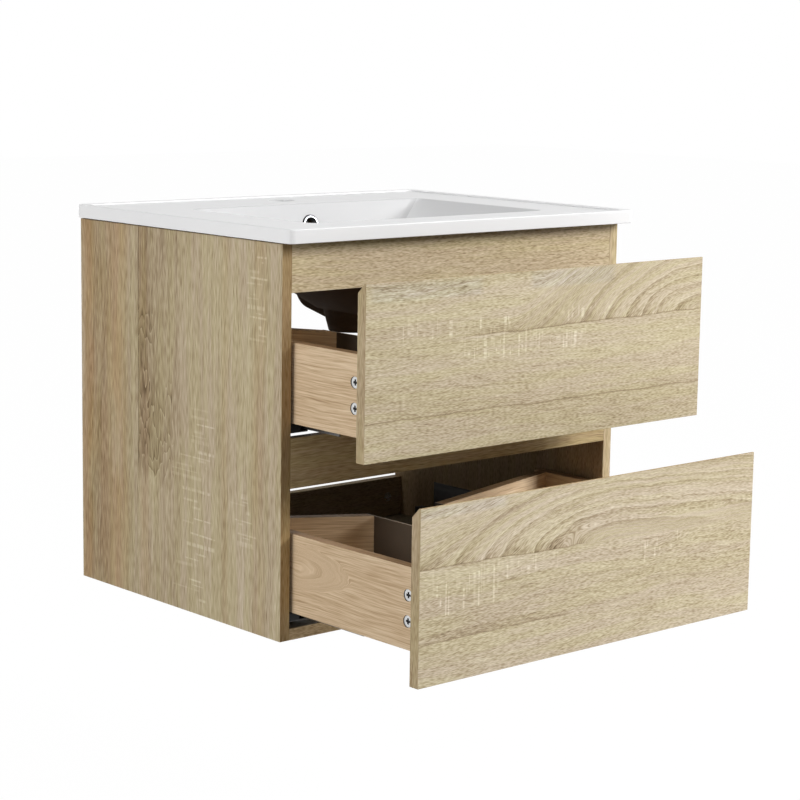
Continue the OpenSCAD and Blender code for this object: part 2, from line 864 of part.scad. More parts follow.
// A locking clip under the bottom: a plate across the drawer member's front end and a
// grip beside it, with a finger tab
clip_w = 13;
clip_len = 30;
clip_tab = 9;
clip_h = slide_top - slide_bottom;
module locking_clip(z) {
  plate_t = slide_y + front_gap - slide_gap;
  grip_x = slide_w + 2 * slide_gap;
  translate([-side_in, front_back, z + slide_bottom]) difference() {
    union() {
      translate([slide_gap, 0, 0]) cube([grip_x + clip_w, plate_t, clip_h]);
      translate([grip_x, 0, 0]) cube([clip_w, clip_len, clip_h]);
      translate([grip_x + clip_w - tiny, clip_len * 0.3, 0]) cube([clip_tab, clip_len * 0.5, 4]);
    }
    for (i = [0:3]) translate([grip_x + clip_w + 1 + 2 * i, 0, 3]) cube([1, clip_len, 2]);
  }
}

// --- upper drawer ---

upper_half = upper_guard_w / 2;
upper_leg_end = board_y(upper_reach, upper_angle, upper_half, true);

module upper_front() {
  color("Wheat") upper_at() drawer_front(upper_front_z, upper_z);
}

module upper_side_left() {
  color("RosyBrown") upper_at() drawer_side(upper_z);
}

module upper_side_right() {
  color("RosyBrown") upper_at() mirror([1, 0, 0]) drawer_side(upper_z);
}

module upper_bottom() {
  color("SandyBrown") upper_at() translate([0, 0, upper_z + bottom_up]) linear_extrude(bottom_t)
    bottom_outline(-upper_half, upper_half, upper_guard_y, upper_reach, upper_angle, upper_reach, upper_angle);
}

module upper_back_left() {
  color("Peru") upper_at() rear_board(upper_z, upper_reach, upper_angle, upper_half);
}

module upper_back_right() {
  color("Peru") upper_at() mirror([1, 0, 0]) rear_board(upper_z, upper_reach, upper_angle, upper_half);
}

module upper_guard() {
  color("DimGray") upper_at()
    pipe_guard(upper_z, -upper_half, upper_half, upper_guard_y, upper_leg_end, upper_leg_end);
}

module upper_cams() {
  color("Silver") upper_at() drawer_cams(upper_z);
}

module upper_bolts() {
  color("DimGray") upper_at() drawer_bolts(upper_z);
}

module upper_slide_left() {
  color("LightSteelBlue") upper_at() slide_member(upper_z);
}

module upper_slide_right() {
  color("LightSteelBlue") upper_at() mirror([1, 0, 0]) slide_member(upper_z);
}

module upper_clips() {
  color("Orange") upper_at() both() locking_clip(upper_z);
}

// --- lower drawer ---

lower_left_end = board_y(lower_left_reach, lower_left_angle, lower_guard_left, true);
lower_right_end = board_y(lower_right_reach, lower_right_angle, -lower_guard_right, true);

module lower_front() {
  color("Wheat") lower_at() drawer_front(0, lower_z);
}

module lower_side_left() {
  color("RosyBrown") lower_at() drawer_side(lower_z);
}

module lower_side_right() {
  color("RosyBrown") lower_at() mirror([1, 0, 0]) drawer_side(lower_z);
}

module lower_bottom() {
  color("SandyBrown") lower_at() translate([0, 0, lower_z + bottom_up]) linear_extrude(bottom_t)
    bottom_outline(-lower_guard_left, -lower_guard_right, lower_guard_y,
      lower_left_reach, lower_left_angle, lower_right_reach, lower_right_angle);
}

module lower_back_left() {
  color("Peru") lower_at() rear_board(lower_z, lower_left_reach, lower_left_angle, lower_guard_left);
}

module lower_back_right() {
  color("Peru") lower_at() mirror([1, 0, 0])
    rear_board(lower_z, lower_right_reach, lower_right_angle, -lower_guard_right);
}

module lower_guard() {
  color("DimGray") lower_at()
    pipe_guard(lower_z, -lower_guard_left, -lower_guard_right, lower_guard_y, lower_left_end, lower_right_end);
}

module lower_cams() {
  color("Silver") lower_at() drawer_cams(lower_z);
}

module lower_bolts() {
  color("DimGray") lower_at() drawer_bolts(lower_z);
}

module lower_slide_left() {
  color("LightSteelBlue") lower_at() slide_member(lower_z);
}

module lower_slide_right() {
  color("LightSteelBlue") lower_at() mirror([1, 0, 0]) slide_member(lower_z);
}

module lower_clips() {
  color("Orange") lower_at() both() locking_clip(lower_z);
}

side_panel_left();
side_panel_right();
bottom_panel();
front_apron();
mid_rail();
rear_top_rail();
rear_bottom_rail();
ceramic_basin();
overflow_ring();
hanger_left();
hanger_right();
hanger_screws();
carcass_cams();
carcass_bolts();
upper_runner_left();
upper_runner_right();
lower_runner_left();
lower_runner_right();
runner_end_blocks();
runner_screws();
upper_middle_left();
upper_middle_right();
lower_middle_left();
lower_middle_right();
upper_front();
upper_side_left();
upper_side_right();
upper_bottom();
upper_back_left();
upper_back_right();
upper_guard();
upper_cams();
upper_bolts();
upper_slide_left();
upper_slide_right();
upper_clips();
lower_front();
lower_side_left();
lower_side_right();
lower_bottom();
lower_back_left();
lower_back_right();
lower_guard();
lower_cams();
lower_bolts();
lower_slide_left();
lower_slide_right();
lower_clips();
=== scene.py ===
"""Looks of the wall-hung vanity: procedural finishes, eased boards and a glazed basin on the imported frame.

Lengths are metres in the row frame: X across, -Y out of the wall, Z up, origin between the wall bolts.
"""

import json
import math

import bmesh
import bpy
from mathutils import Matrix, Vector

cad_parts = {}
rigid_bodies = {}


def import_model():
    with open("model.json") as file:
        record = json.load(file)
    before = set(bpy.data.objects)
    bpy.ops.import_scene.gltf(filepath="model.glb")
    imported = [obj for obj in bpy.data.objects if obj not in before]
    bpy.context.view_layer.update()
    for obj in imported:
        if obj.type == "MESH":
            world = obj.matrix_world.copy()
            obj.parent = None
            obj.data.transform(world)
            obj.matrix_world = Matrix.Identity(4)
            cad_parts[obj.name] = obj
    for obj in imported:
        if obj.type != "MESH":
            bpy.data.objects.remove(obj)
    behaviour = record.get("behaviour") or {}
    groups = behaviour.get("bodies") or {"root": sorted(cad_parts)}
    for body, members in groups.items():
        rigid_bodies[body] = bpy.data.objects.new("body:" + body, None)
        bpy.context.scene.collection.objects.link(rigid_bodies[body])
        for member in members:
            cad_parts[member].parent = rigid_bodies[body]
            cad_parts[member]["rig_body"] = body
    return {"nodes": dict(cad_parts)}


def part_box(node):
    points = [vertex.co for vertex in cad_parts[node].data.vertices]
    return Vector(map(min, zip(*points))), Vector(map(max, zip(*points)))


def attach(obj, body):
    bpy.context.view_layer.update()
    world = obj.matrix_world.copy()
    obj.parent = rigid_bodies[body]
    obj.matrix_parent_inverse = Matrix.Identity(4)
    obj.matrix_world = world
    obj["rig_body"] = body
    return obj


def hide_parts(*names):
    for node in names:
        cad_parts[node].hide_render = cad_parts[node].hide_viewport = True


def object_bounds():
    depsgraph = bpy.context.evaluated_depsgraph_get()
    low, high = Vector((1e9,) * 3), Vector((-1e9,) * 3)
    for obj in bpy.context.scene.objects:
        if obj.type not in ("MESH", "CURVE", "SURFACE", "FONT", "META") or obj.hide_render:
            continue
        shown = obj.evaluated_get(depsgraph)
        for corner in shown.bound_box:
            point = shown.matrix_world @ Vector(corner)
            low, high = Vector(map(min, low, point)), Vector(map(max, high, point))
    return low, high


MM = 0.001

# Boards and guards
BOARD_EASE = 0.5 * MM  # width of a board's eased edges
BOARD_SHORTEST = 9 * MM  # shorter edges of a board stay sharp
GUARD_EASE = 0.4 * MM
GUARD_SHORTEST = 4 * MM
SHARP = 40  # degrees between two faces, above which their edge is eased
NEAR = 0.1 * MM  # within this, points count as level with a face

# Drawer cams
CAM_RECESS = 1.0 * MM  # from a drawer side's face down to its cams
CAM_EASE = 0.3 * MM
CAM_SHARP = 60  # as SHARP
CAM_LID = 0.5 * MM  # the part of a cam that moves in with its face
BORE_REACH = 1 * MM  # faces of a side that lie this near its cams are their bores

# Basin
SLAB = 18 * MM  # thickness of the slab
DECK_DROP = 2 * MM  # from the raised rim down to the deck
OUTLINE = 10 * MM  # points within this of the slab's box are on its outline
OPENINGS_HALF = 230 * MM  # bowl and tap hole lie within this of the middle
OPENINGS_FRONT = 20 * MM  # and further than this from the slab's front
LAP = 25 * MM  # glazed border under the slab
UNDER_SLACK = 0.5 * MM  # lower than this over the slab's underside, the glaze ends and the painted shade begins
DECK_SLACK = 0.2 * MM  # lower than this under the deck, the bowl begins
LOOKS_UP = 0.02  # faces whose normal rises more than this belong to the bowl's inside
STEP_EASE = 0.7 * MM
OPENING_EASE = 2.5 * MM
TOP_EASE = 1.6 * MM
UNDER_EASE = 1.0 * MM

# Gap between slab and boards, with a dark strip of painted shade set back in it
JOINT_SHADE_GAP = 1.7 * MM
JOINT_SHADE_BACK = 3 * MM  # from the boards' faces back to the dark strip
JOINT_SHADE_EASE = 0.4 * MM

# The photo's camera, solved from its straight edges; angles in degrees, lens and sensor in millimetres
CAMERA_AT = (-1.98184, -2.56991, 0.29193)
CAMERA_YAW = -41.49
CAMERA_PITCH = -9.32
CAMERA_ROLL = 0.90
LENS = 99.92
SENSOR = 36
CLIP_END = 50

# Light: the sky's bright side, the cosines to it between which it fades, its two strengths, the square lamps
SKY_TOWARDS = (0.15, -0.85, 0.50)
SKY_FROM, SKY_TO = -0.6, 0.9
SKY_LOW, SKY_HIGH = 0.05, 0.32
LAMPS = (
    # name, place, aim, side in metres, power in watts
    ("key", (2.3, -3.1, 1.5), (0, -0.4, -0.15), 1.4, 144),
    ("top", (0.2, -0.7, 2.8), (0, -0.3, 0), 1.6, 6),
    ("left", (-3.2, -0.4, 0.9), (0, -0.4, -0.1), 1.4, 57),
)

# Floor: below the part, half its side, its matt colour, and the glow that makes it white where it is seen
FLOOR_BELOW = 0.33
FLOOR_HALF = 14
FLOOR_COLOUR = (0.62, 0.62, 0.61, 1)
FLOOR_GLOW = 1.02
FLOOR_GLOW_SHARE = 0.97

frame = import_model()
NODES = frame["nodes"]
CAD_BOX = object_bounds()


def srgb(r, g, b):
    """A colour given as it should look on screen, 0 to 255, as linear light."""
    out = []
    for v in (r, g, b):
        v /= 255
        out.append(v / 12.92 if v <= 0.04045 else ((v + 0.055) / 1.055) ** 2.4)
    return (*out, 1.0)


def times(colour, k):
    """A colour times a number, or times a tint (r, g, b)."""
    r, g, b = k if isinstance(k, tuple) else (k, k, k)
    return (colour[0] * r, colour[1] * g, colour[2] * b, 1.0)


# ---------------------------------------------------------------- node building


class Tree:
    """The emptied node tree of a material or world, and short ways to add nodes to it."""

    def __init__(self, owner):
        owner.use_nodes = True
        self.tree = owner.node_tree
        self.tree.nodes.clear()

    def add(self, kind, *values, **settings):
        """A new node; each value or socket goes to the next input, and None leaves that input as it is."""
        node = self.tree.nodes.new(kind)
        for key, value in settings.items():
            setattr(node, key, value)
        for socket, value in zip(node.inputs, values):
            self.put(socket, value)
        return node

    def put(self, socket, value):
        if isinstance(value, bpy.types.NodeSocket):
            self.tree.links.new(value, socket)
        elif value is not None:
            socket.default_value = value

    def math(self, operation, a, b=None, c=None):
        return self.add("ShaderNodeMath", a, b, c, operation=operation).outputs[0]

    def seen(self):
        """1 for rays that show the background: camera, glossy and transmission."""
        rays = self.add("ShaderNodeLightPath").outputs
        total = rays["Is Camera Ray"]
        for name in ("Is Glossy Ray", "Is Transmission Ray"):
            total = self.math("MAXIMUM", total, rays[name])
        return total


class Shader(Tree):
    """A material with one principled shader."""

    def __init__(self, name):
        self.material = bpy.data.materials.new(name)
        super().__init__(self.material)
        self.bsdf = self.add("ShaderNodeBsdfPrincipled")
        self.add("ShaderNodeOutputMaterial", self.bsdf.outputs[0])
        self.here = self.add("ShaderNodeTexCoord").outputs["Object"]
        self.xyz = self.add("ShaderNodeSeparateXYZ", self.here).outputs

    def set(self, name, value):
        self.put(self.bsdf.inputs[name], value)

    def vector(self, x, y, z):
        return self.add("ShaderNodeCombineXYZ", x, y, z).outputs[0]

    def grain(self, place, waves, shift=0.0, detail=2.0, roughness=0.5, distortion=0.0):
        """Noise from 0 to 1 at a place, with so many waves a metre along each of its axes."""
        shifts = (shift, shift, shift)
        moved = self.add("ShaderNodeVectorMath", place, waves, shifts, operation="MULTIPLY_ADD")
        node = self.add("ShaderNodeTexNoise", moved.outputs[0])
        settings = {"Scale": 1.0, "Detail": detail, "Roughness": roughness, "Distortion": distortion}
        for key, value in settings.items():
            self.put(node.inputs[key], value)
        return node.outputs[0]

    def cloud(self, per_metre, detail=2.0):
        """Noise from 0 to 1 that is even in all directions."""
        return self.grain(self.here, (per_metre,) * 3, 0.0, detail)

    def cells(self, per_metre):
        """A random grey for each cell of a Voronoi pattern."""
        node = self.add("ShaderNodeTexVoronoi", self.here)
        self.put(node.inputs["Scale"], per_metre)
        return self.add("ShaderNodeSeparateXYZ", node.outputs["Color"]).outputs[0]

    def off(self, value, at):
        """How far value lies over at."""
        return self.math("SUBTRACT", value, at)

    def length(self, a, b):
        """How long the vector (a, b) is."""
        return self.math("SQRT", self.math("ADD", self.product(a, a), self.product(b, b)))

    def total(self, start, *parts):
        """start plus each (value, weight), where a value of 0.5 adds nothing."""
        value = start
        for part, weight in parts:
            value = self.math("MULTIPLY_ADD", self.off(part, 0.5), weight, value)
        return value

    def product(self, *parts):
        value = parts[0]
        for part in parts[1:]:
            value = self.math("MULTIPLY", value, part)
        return value

    def line(self, value, width, soft):
        """1 where a value is near 0, within the half width."""
        return self.steps(self.math("ABSOLUTE", value), width, width + soft, 1.0, 0.0)

    def steps(self, value, low, high, to_low=0.0, to_high=1.0):
        """Maps value smoothly from low..high to to_low..to_high, clamped."""
        node = self.add("ShaderNodeMapRange", value, low, high, to_low, to_high)
        node.interpolation_type = "SMOOTHSTEP"
        return node.outputs[0]

    def curve(self, value, points):
        """A number from value through points, in straight lines."""
        node = self.add("ShaderNodeFloatCurve", 1.0, value)
        line = node.mapping.curves[0].points
        line[0].location = points[0]
        line[1].location = points[-1]
        for point in points[1:-1]:
            line.new(*point)
        for point in line:
            point.handle_type = "VECTOR"
        node.mapping.update()
        return node.outputs[0]

    def ramp(self, value, stops, tone=1.0):
        """A colour from value, through the stops (at, colour), all times a tone."""
        node = self.add("ShaderNodeValToRGB", value)
        elements = node.color_ramp.elements
        for element, (at, colour) in ((elements[0], stops[0]), (elements[1], stops[-1])):
            element.position = at
            element.color = times(colour, tone)
        for at, colour in stops[1:-1]:
            elements.new(at).color = times(colour, tone)
        return node.outputs[0]

    def mix(self, factor, a, b, blend="MIX"):
        """Mixes two colours."""
        node = self.add("ShaderNodeMix", data_type="RGBA", blend_type=blend)
        self.put(node.inputs[0], factor)
        self.put(node.inputs[6], a)
        self.put(node.inputs[7], b)
        return node.outputs[2]

    def tinted(self, colour, tint):
        """A colour times a tint."""
        return self.mix(1.0, colour, tint, "MULTIPLY")

    def blend(self, factor, a, b):
        """Mixes two numbers."""
        node = self.add("ShaderNodeMix", data_type="FLOAT")
        self.put(node.inputs[0], factor)
        self.put(node.inputs[2], a)
        self.put(node.inputs[3], b)
        return node.outputs[0]

    def bump(self, height, distance, strength):
        node = self.add("ShaderNodeBump")
        self.put(node.inputs["Height"], height)
        self.put(node.inputs["Distance"], distance)
        self.put(node.inputs["Strength"], strength)
        self.set("Normal", node.outputs[0])

    def axis(self, name, origin=0.0, scale=1.0):
        """A row-frame coordinate, from an origin and scaled."""
        value = self.xyz["XYZ".index(name)]
        if origin:
            value = self.off(value, origin)
        return value if scale == 1.0 else self.math("MULTIPLY", value, scale)


# ---------------------------------------------------------------- wood prints

# Colour of the wood from its darkest pores to its palest flecks
OAK_TONES = (
    (0.00, srgb(112, 94, 68)),
    (0.30, srgb(170, 151, 119)),
    (0.50, srgb(199, 183, 152)),
    (0.70, srgb(216, 202, 173)),
    (1.00, srgb(242, 233, 210)),
)
FILM_TONES = (
    (0.00, srgb(150, 118, 84)),
    (0.32, srgb(193, 165, 131)),
    (0.50, srgb(210, 184, 151)),
    (0.70, srgb(223, 199, 167)),
    (1.00, srgb(240, 222, 196)),
)
RED_TINT = (0.88, 0.76, 0.64, 1.0)
GREY_TINT = (0.93, 0.95, 1.02, 1.0)
PINK_TINT = (1.0, 0.98, 1.02, 1.0)
GREEN_TINT = (1.0, 1.01, 0.95, 1.0)

# Noises of a print: seed, waves a metre (along, across, through), detail, roughness, weight in the lightness
OAK_PRINT = (
    (5, (1.6, 24.0, 24.0), 3.0, 0.5, 0.27),  # soft bands
    (6, (9.0, 130.0, 130.0), 3.0, 0.5, 0.12),  # grain
    (7, (24.0, 420.0, 420.0), 0.0, 0.5, 0.26),  # fine lines
    (14, (160.0, 1100.0, 1100.0), 0.0, 0.5, 0.68),  # grit
)
FILM_PRINT = (
    (5, (2.5, 34.0, 34.0), 3.0, 0.5, 0.35),  # soft bands
    (6, (5.0, 260.0, 260.0), 3.0, 0.55, 0.48),  # grain
    (7, (22.0, 640.0, 640.0), 2.0, 0.5, 1.1),  # fine lines
)
OAK_WANDER, OAK_RIPPLE = 0.020, 0.0030  # how far the grain bends slowly and quickly
FILM_WANDER, FILM_RIPPLE = 0.016, 0.0016
WANDER_WAVES = (4.0, 9.0, 9.0)
RIPPLE_WAVES = (45.0, 60.0, 60.0)
PORE_WAVES = (50.0, 650.0, 650.0)
COARSE_WAVES = (42.0, 300.0, 300.0)  # of bleached patches
HUE_WAVES = (5.0, 70.0, 70.0)
SEED_STEP = 7.31  # between the noises of two boards

SEAM_SEED = 20  # seed of the first seam's sway
SWAY_WAVES = (24.0, 0.0, 0.0)
SEAM_SWAY = 0.006
SEAM_EDGE = 0.0004  # half width of the line where two planks meet
SEAM_JUMP = 0.31  # how far the grain jumps there
SEAM_END = 0.04  # length over which a seam's ends fade
SEAM_LINE_SOFT = 0.0010  # soft edge of its dark line

RING_LONG = 0.35  # beyond its centre an arch is 1 / RING_LONG times as long as before it
RING_TIP = 0.01  # rounding of an arch at its centre
RING_SHAKE, SHAKE_WAVES = 0.007, (9.0, 26.0, 26.0)
RING_END = 1.25  # the figure fades out from its last radius to this many times as far
RING_NEAR, RING_FAR, RING_FALL = 0.32, 0.20, 0.07  # strength at the seam, and this far over it
RING_TEETH = ((0.0, 0.95), (0.12, 0.72), (0.5, 0.55), (0.80, 0.15), (0.95, 0.0), (1.0, 0.7))
BEND_FULL, BEND_END = 0.6, 1.7  # the grain follows the rings within these shares of the last radius
BEND_ACROSS, BEND_JUMP = 0.3, 0.25  # how the grain that follows them lies in the noise
FADED_SEAM = (-0.004, 0.024)  # the seam's edge where it has faded
FADED_HALF = 0.04  # half the length over which it fades

TICK_HALF, TICK_SOFT = 0.0006, 0.0018  # half width of a saw mark, and of its soft edge
TICK_LOW, TICK_HIGH = 0.25, 1.1  # reach of the saw marks, in shares of their patch
TICK_LIFT = 1.3  # how far they lie apart across the board, in the same shares
TICK_END = 0.005  # soft ends of a mark
SAW_END = 0.02  # soft ends of a row of marks
SAW_DRIFT, SAW_SWAY = 0.55, 3.0  # waves a mark of the row's uneven pitch, and how uneven it is
BREAK_WAVES = (60.0, 260.0, 260.0)

FLAME_LINES, FLAME_WILD, FLAME_WAVES = 22.0, 6.0, (12.0, 44.0, 44.0)
FLAME_TEETH = ((0.0, 0.1), (0.25, 0.4), (0.6, 0.55), (0.86, 0.65), (0.94, 1.0), (1.0, 0.2))
FLAME_WEIGHT, FLAME_MIDDLE = 0.38, 0.60
FLAME_SOFT, GREY_SOFT = 0.008, 0.007  # soft edges of the patches
COARSE_WEIGHT, COARSE_MIDDLE = 1.1, 0.47


class Marks:
    """The features of one board's print, in metres along and across its grain.

    seams: (across at 0, slope, from, to, darkness of the line, shade beside it, reach of the shade). The
        shade lies over the seam, or under it where it is below 0.
    arches: (centre along, stretch, lean, where the seam fades, radii of the rings), over the first seam.
    saws: (centre, half size, pitch, strength) of pale saw marks across the grain.
    greys, flames: (centre, half size) of bleached, coarse patches and of wild grain.
    reds: (across, half width, strength) of reddish streaks.
    bands: (across, half width, lightness) of paler or darker bands.
    """

    def __init__(self, seams=(), arches=None, saws=(), greys=(), flames=(), reds=(), bands=()):
        self.seams = seams
        self.arches = arches
        self.saws = saws
        self.greys = greys
        self.flames = flames
        self.reds = reds
        self.bands = bands


class Wood(Shader):
    """A wood print whose grain runs along the first axis and across it along the second.

    Without a third axis, the print goes straight through the board.
    """

    def __init__(self, name, axes, seed):
        super().__init__(name)
        self.along, self.across = (self.axis(k) for k in axes[:2])
        self.depth = self.axis(axes[2]) if len(axes) > 2 else 0.0
        self.place = self.vector(self.along, self.across, self.depth)
        self.far = seed * SEED_STEP

    def noise(self, seed, waves, detail=2.0):
        """Noise of the board itself, with so many waves a metre along, across and through it."""
        return self.grain(self.place, waves, self.far + seed, detail)

    def wavy(self, wander, ripple):
        """The across coordinate of grain that wanders and ripples."""
        slow = self.noise(0, WANDER_WAVES)
        quick = self.noise(1, RIPPLE_WAVES)
        return self.total(self.across, (slow, wander), (quick, ripple))

    def printed(self, place, light, layers, drawn=1.0):
        """The lightness with a print's noises added, and the noises; drawn draws them out along the grain."""
        noises, weights = [], []
        for seed, (along, across, through), detail, roughness, weight in layers:
            waves = (along / drawn, across, through)
            noises.append(self.grain(place, waves, self.far + seed, detail, roughness))
            weights.append(weight)
        return self.total(light, *zip(noises, weights)), noises

    def within(self, at, half, soft):
        """A soft box mask round at = (along, across)."""
        return self.product(
            self.line(self.off(self.along, at[0]), half[0] - soft, 2 * soft),
            self.line(self.off(self.across, at[1]), half[1] - soft / 2, soft),
        )

    def over(self, at, slope, seed):
        """How far a point lies over a wavy line along the board."""
        sway = self.noise(seed, SWAY_WAVES)
        level = self.math("MULTIPLY_ADD", self.along, slope, at)
        return self.total(self.off(self.across, level), (sway, SEAM_SWAY))

    def seams(self, marks, v, light):
        """Joins of planks: a dark line with shade beside it, and other grain on each side."""
        for k, (at, slope, start, end, line, shade, reach) in enumerate(marks.seams):
            over = self.over(at, slope, SEAM_SEED + k)
            plank = self.steps(over, -SEAM_EDGE, SEAM_EDGE)
            v = self.math("MULTIPLY_ADD", plank, SEAM_JUMP, v)
            from_middle = self.off(self.along, (start + end) / 2)
            here = self.line(from_middle, (end - start) / 2 - SEAM_END / 2, SEAM_END)
            if shade < 0:
                side = self.product(self.math("SUBTRACT", 1.0, plank), self.steps(over, -reach, 0.0))
            else:
                side = self.product(plank, self.steps(over, 0.0, reach, 1.0, 0.0))
            beside = self.math("MULTIPLY", side, abs(shade))
            dark = self.math("MULTIPLY_ADD", self.line(over, SEAM_EDGE, SEAM_LINE_SOFT), line, beside)
            light = self.math("SUBTRACT", light, self.product(dark, here))
        return v, light

    def arches(self, marks, v, light):
        """Rings over the first seam, drawn out beyond their centre, that bend the grain with them."""
        centre, stretch, lean, open_from, radii = marks.arches
        reach = radii[-1] * RING_END
        at, slope = marks.seams[0][:2]
        over = self.over(at, slope, SEAM_SEED)
        off = self.off(self.along, centre)
        off = self.math("MAXIMUM", self.math("MULTIPLY", off, -1.0), self.math("MULTIPLY", off, RING_LONG))
        off = self.math("SQRT", self.math("ADD", self.product(off, off), RING_TIP**2))
        da = self.math("DIVIDE", off, stretch)
        dc = self.math("MULTIPLY_ADD", self.product(off, off), lean, over)
        r = self.total(self.length(da, dc), (self.noise(2, SHAKE_WAVES, 3.0), RING_SHAKE))

        ragged = self.steps(self.along, open_from - FADED_HALF, open_from + FADED_HALF)
        edge, faded = self.steps(over, -SEAM_EDGE, SEAM_EDGE), self.steps(over, *FADED_SEAM)
        plank = self.blend(ragged, edge, faded)
        mask = self.product(plank, self.steps(r, radii[-1], reach, 1.0, 0.0))
        bent = self.steps(r, radii[-1] * BEND_FULL, radii[-1] * BEND_END, 1.0, 0.0)
        ringed = self.math("MULTIPLY_ADD", self.across, BEND_ACROSS, self.math("ADD", r, BEND_JUMP))
        v = self.blend(self.product(plank, bent), v, ringed)

        # Each ring is a tooth: pale where it starts, darkest just before the next one
        count = len(radii) + 1
        table = [(0.0, 0.0)] + [(q / reach, (k + 1) / count) for k, q in enumerate(radii)] + [(1.0, 1.0)]
        turns = self.math("MULTIPLY", self.curve(self.math("DIVIDE", r, reach), table), count)
        tooth = self.curve(self.math("FRACT", turns), RING_TEETH)
        fade = self.steps(over, 0.0, RING_FALL, RING_NEAR, RING_FAR)
        return v, self.math("MULTIPLY_ADD", self.off(tooth, 0.5), self.product(fade, mask), light)

    def flames(self, marks, light):
        """Patches of wild grain that runs across the board."""
        for at, half in marks.flames:
            here = self.within(at, half, FLAME_SOFT)
            wild = self.math("MULTIPLY", self.noise(4, FLAME_WAVES), FLAME_WILD)
            phase = self.math("FRACT", self.math("MULTIPLY_ADD", self.along, FLAME_LINES, wild))
            tooth = self.curve(phase, FLAME_TEETH)
            weight = self.math("MULTIPLY", here, FLAME_WEIGHT)
            light = self.math("MULTIPLY_ADD", self.off(tooth, FLAME_MIDDLE), weight, light)
        return light

    def bleached(self, marks):
        """A mask of the bleached patches, or None where there are none."""
        mask = None
        for at, half in marks.greys:
            here = self.within(at, half, GREY_SOFT)
            mask = here if mask is None else self.math("MAXIMUM", mask, here)
        return mask

    def saw_marks(self, at, half, pitch):
        """Pale, broken lines across the grain, each its own height."""
        sway = self.math("MULTIPLY", self.noise(11, (SAW_DRIFT / pitch, 1.2, 1.2), 1.0), SAW_SWAY)
        u = self.math("MULTIPLY_ADD", self.along, 1 / pitch, sway)
        cell = self.math("FLOOR", u)
        chance = self.add("ShaderNodeTexWhiteNoise", None, cell, noise_dimensions="1D").outputs[0]
        other = self.math("FRACT", self.math("MULTIPLY", chance, 17.0))
        tick = self.line(self.off(self.math("FRACT", u), 0.5), TICK_HALF / pitch, TICK_SOFT / pitch)
        lift = self.math("MULTIPLY", self.off(chance, 0.5), TICK_LIFT * half[1])
        off = self.math("ABSOLUTE", self.math("ADD", self.off(self.across, at[1]), lift))
        reach = self.steps(other, 0.0, 1.0, TICK_LOW * half[1], TICK_HIGH * half[1])
        tall = self.steps(self.math("SUBTRACT", reach, off), 0.0, TICK_END)
        ends = self.line(self.off(self.along, at[0]), half[0] - SAW_END / 2, SAW_END)
        broken = self.steps(self.noise(12, BREAK_WAVES), 0.30, 0.55)
        strength = self.steps(chance, 0.0, 0.6, 0.4)
        return self.product(tick, tall, ends, broken, strength)


def oak(name, axes, seed, tone, marks=Marks(), drawn=1.0):
    """Wood-look laminate: dense fine grain, soft bands, and the board's own marks.

    drawn says how far the lines are drawn out along the grain.
    """
    s = Wood(name, axes, seed)
    whole = s.wavy(OAK_WANDER, OAK_RIPPLE)
    v, light = s.seams(marks, whole, 0.5)
    if marks.arches:
        v, light = s.arches(marks, v, light)
    for at, half, amount in marks.bands:
        band = s.line(s.off(whole, at), half * 0.6, half * 0.8)
        light = s.math("MULTIPLY_ADD", band, amount, light)
    light = s.flames(marks, light)

    place = s.vector(s.along, v, s.depth)
    light, (_, grain, fine, _) = s.printed(place, light, OAK_PRINT, drawn)
    pores = s.grain(place, (PORE_WAVES[0] / drawn, *PORE_WAVES[1:]), s.far + 8, 0.0)
    light = s.math("SUBTRACT", light, s.steps(pores, 0.22, 0.34, 0.08, 0.0))
    bleached = s.bleached(marks)
    if bleached is not None:
        coarse = s.grain(place, COARSE_WAVES, s.far + 9, distortion=0.5)
        weight = s.math("MULTIPLY", bleached, COARSE_WEIGHT)
        light = s.math("MULTIPLY_ADD", s.off(coarse, COARSE_MIDDLE), weight, light)
    for at, half, pitch, strength in marks.saws:
        light = s.math("MULTIPLY_ADD", s.saw_marks(at, half, pitch), strength, light)

    hue = s.grain(place, HUE_WAVES, s.far + 13)
    tint = s.mix(s.steps(hue, 0.35, 0.65), PINK_TINT, GREEN_TINT)
    colour = s.tinted(s.ramp(light, OAK_TONES, tone), tint)
    for at, half, strength in marks.reds:
        streak = s.line(s.off(whole, at), half * 0.5, half)
        patchy = s.steps(s.noise(10, (7.0, 30.0, 30.0)), 0.28, 0.55, 0.40)
        colour = s.mix(s.product(streak, patchy, strength), colour, s.tinted(colour, RED_TINT))
    if bleached is not None:
        colour = s.mix(bleached, colour, s.tinted(colour, GREY_TINT))

    s.set("Base Color", colour)
    s.set("Roughness", s.steps(fine, 0.25, 0.75, 0.68, 0.54))
    s.set("Specular IOR Level", 0.16)
    s.bump(s.total(0.5, (grain, 0.5), (fine, 1.0)), 0.00020, 0.5)
    return s.material


def film(name, axes, seed, tone, knot=None):
    """The smoother tan film on the drawer boxes: soft, gently bent lines.

    knot = (centre, reach) bends the lines to arches that open towards the wall.
    """
    s = Wood(name, axes, seed)
    v = s.wavy(FILM_WANDER, FILM_RIPPLE)
    if knot:
        at, reach = knot
        da = s.math("SUBTRACT", at[0], s.along)
        da = s.math("MAXIMUM", s.math("MULTIPLY", da, 0.28), s.math("MULTIPLY", da, -0.10))
        r = s.length(da, s.off(s.across, at[1]))
        r = s.total(r, (s.noise(3, (30.0, 60.0, 60.0)), 0.008))
        v = s.blend(s.steps(r, reach * 0.3, reach, 0.8, 0.0), v, s.math("MULTIPLY", r, 0.7))
    place = s.vector(s.along, v, s.depth)
    light, (_, grain, fine) = s.printed(place, 0.5, FILM_PRINT)
    s.set("Base Color", s.ramp(light, FILM_TONES, tone))
    s.set("Roughness", s.steps(fine, 0.25, 0.75, 0.62, 0.50))
    s.set("Specular IOR Level", 0.14)
    s.bump(s.total(0.5, (grain, 0.6), (fine, 0.8)), 0.00007, 0.5)
    return s.material


# ---------------------------------------------------------------- other finishes


